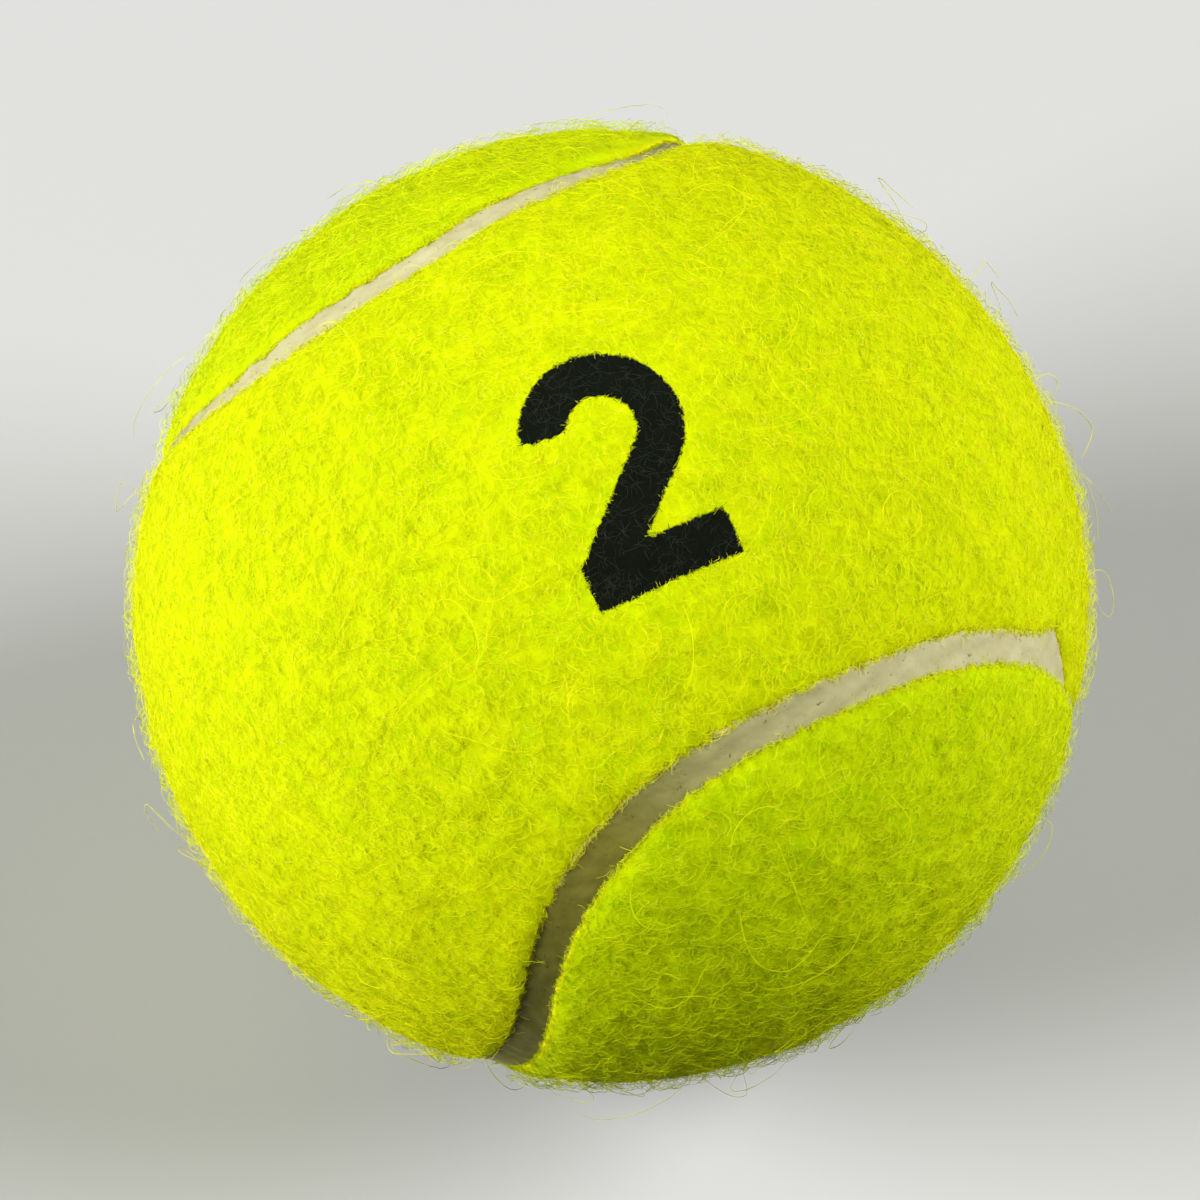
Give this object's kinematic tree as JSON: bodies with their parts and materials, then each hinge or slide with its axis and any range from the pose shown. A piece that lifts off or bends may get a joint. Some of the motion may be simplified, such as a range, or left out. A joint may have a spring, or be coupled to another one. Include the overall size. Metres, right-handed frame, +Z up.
{
  "type": "padel ball",
  "caption": "Felt-covered hollow rubber ball for padel, with a pale winding seam of cement between its dumbbell-shaped felt panels.",
  "frame": {"origin": "middle of the small pressed flat that the ball rests on, straight under the ball's centre", "axes": "+Z up from the floor; the picture's camera looks along +Y and down, with +X to its right"},
  "size_m": [0.0656, 0.0655, 0.0651],
  "materials": {
    "core_rubber": "moulded matt",
    "core_cement": "set cement",
    "felt_glue": "set glue film",
    "felt": "napped felt",
    "seam_cement": "matt, slightly pitted"
  },
  "bodies": {
    "root": {"core_half_a": "core_rubber", "core_half_b": "core_rubber", "core_cement": "core_cement", "felt_glue_a": "felt_glue", "felt_glue_b": "felt_glue", "felt_panel_a": "felt", "felt_panel_b": "felt", "seam_cement": "seam_cement"}
  },
  "joints": []
}
